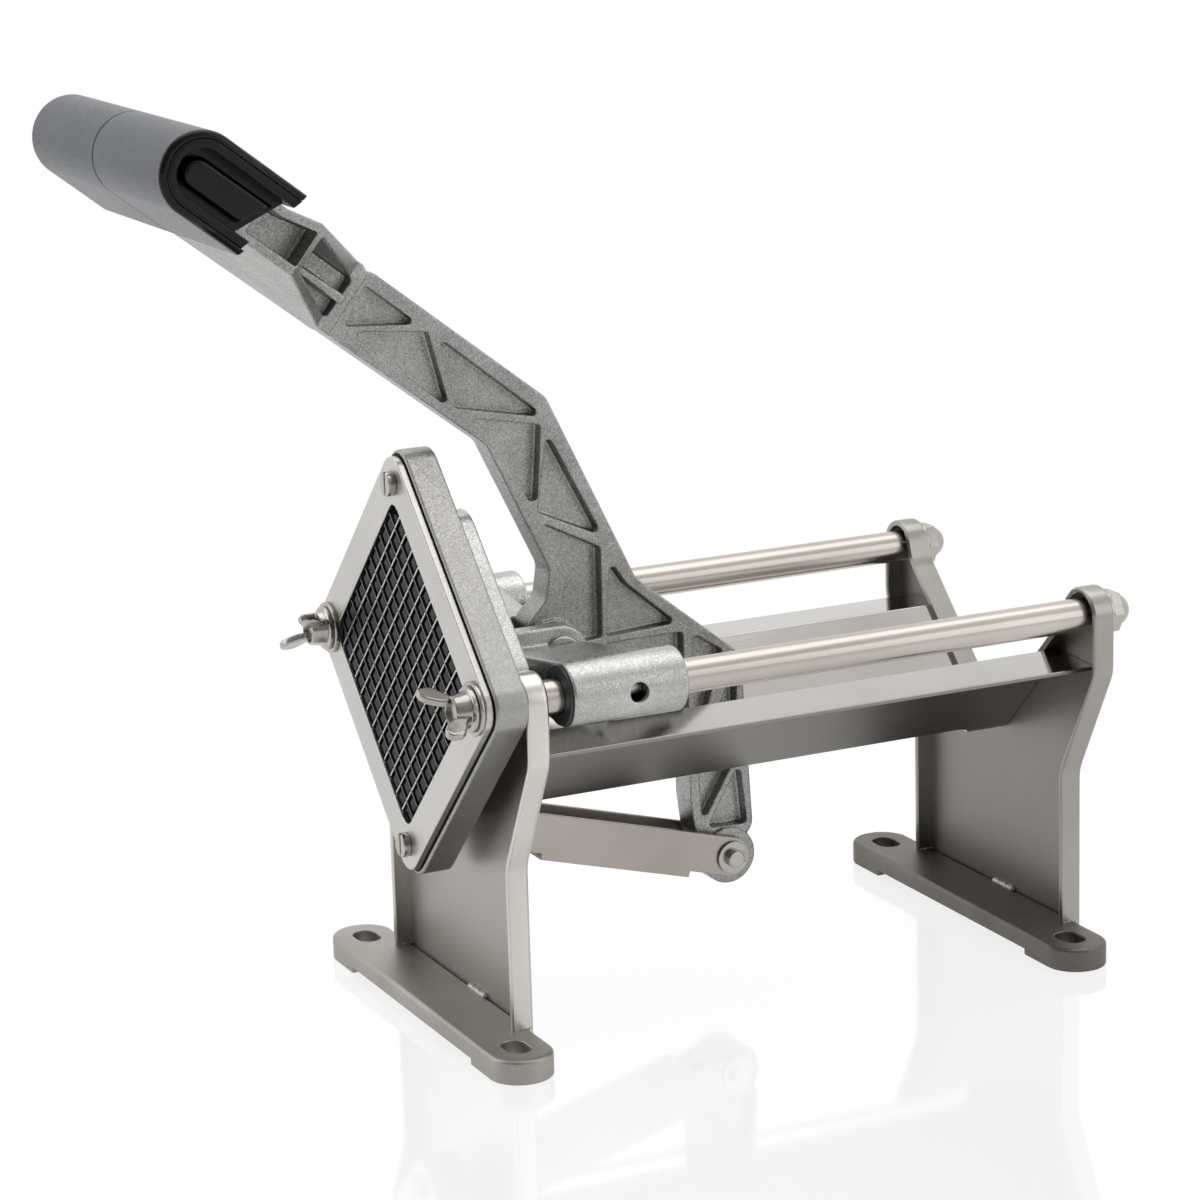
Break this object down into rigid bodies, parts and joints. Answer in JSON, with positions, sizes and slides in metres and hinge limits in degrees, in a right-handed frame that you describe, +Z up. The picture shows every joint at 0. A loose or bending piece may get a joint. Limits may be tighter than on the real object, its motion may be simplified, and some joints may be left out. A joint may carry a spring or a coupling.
{
  "type": "lever french fry cutter",
  "caption": "Bench french fry cutter: a cast truss lever pushes a square finger block through a blade grid along two guide rods over a V-shaped steel trough.",
  "frame": {"origin": "centre of the four foot slots, on the plane the feet stand on", "axes": "+Z up, +Y from the blade grid towards the rear plate along the guide rods, +X to the right seen from the front"},
  "size_m": [0.149, 0.3271, 0.3002],
  "materials": {
    "cast_alloy": "sand-cast aluminium with a fine sparkling grain",
    "sheet_steel": "satin brushed stainless sheet",
    "bar_steel": "satin flat bar",
    "rod_steel": "turned and polished rod",
    "fastener_steel": "bright plated",
    "blade_steel": "ground blade steel",
    "black_plastic": "moulded black nylon",
    "bush_plastic": "black acetal",
    "grip_plastic": "dark grey, semi-matte",
    "liner_rubber": "black, matte"
  },
  "bodies": {
    "stand": {"front_foot": "bar_steel", "rear_foot": "bar_steel", "front_plate": "sheet_steel", "rear_plate": "sheet_steel", "trough": "sheet_steel", "left_guide_rod": "rod_steel", "right_guide_rod": "rod_steel", "rod_jam_nuts": "fastener_steel", "rear_washers": "fastener_steel", "cap_nuts": "fastener_steel", "blade_frame": "cast_alloy", "blade_cover": "sheet_steel", "rising_blades": "blade_steel", "falling_blades": "blade_steel", "cover_screws": "fastener_steel", "front_washers": "fastener_steel", "link_bracket": "sheet_steel", "front_link_pin": "fastener_steel"},
    "left_wing": {"left_wing_nut": "fastener_steel"},
    "right_wing": {"right_wing_nut": "fastener_steel"},
    "pusher": {"carriage": "cast_alloy", "sleeve_bushings": "bush_plastic", "pusher_block": "black_plastic", "pusher_screws": "fastener_steel", "lever_pivot_pin": "fastener_steel"},
    "handle": {"lever": "cast_alloy", "left_grip": "grip_plastic", "right_grip": "grip_plastic", "left_grip_liner": "liner_rubber", "right_grip_liner": "liner_rubber", "rear_link_pin": "fastener_steel", "link_pin_clip": "fastener_steel"},
    "link": {"link_channel": "sheet_steel"}
  },
  "joints": [
    {"name": "carriage_slide", "type": "slide", "parent": "stand", "child": "pusher", "axis": [0, 1, 0], "range_m": [0, 0.143]},
    {"name": "lever_swing", "type": "hinge", "parent": "pusher", "child": "handle", "pos_m": [0, -0.0597, 0.1182], "axis": [1, 0, 0], "range_deg": [-88.48, 0]},
    {"name": "link_swing", "type": "hinge", "parent": "handle", "child": "link", "pos_m": [0, 0.0023, 0.0383], "axis": [1, 0, 0], "range_deg": [0, 99.78]},
    {"name": "left_wing_turn", "type": "hinge", "parent": "stand", "child": "left_wing", "pos_m": [-0.059, -0.1155, 0.1182], "axis": [0, 1, 0], "continuous": true},
    {"name": "right_wing_turn", "type": "hinge", "parent": "stand", "child": "right_wing", "pos_m": [0.059, -0.1155, 0.1182], "axis": [0, 1, 0], "continuous": true}
  ],
  "couplings": [
    {"joint": "lever_swing", "follows": "carriage_slide", "rad_per_m": -10.799},
    {"joint": "link_swing", "follows": "carriage_slide", "rad_per_m": 12.179}
  ]
}
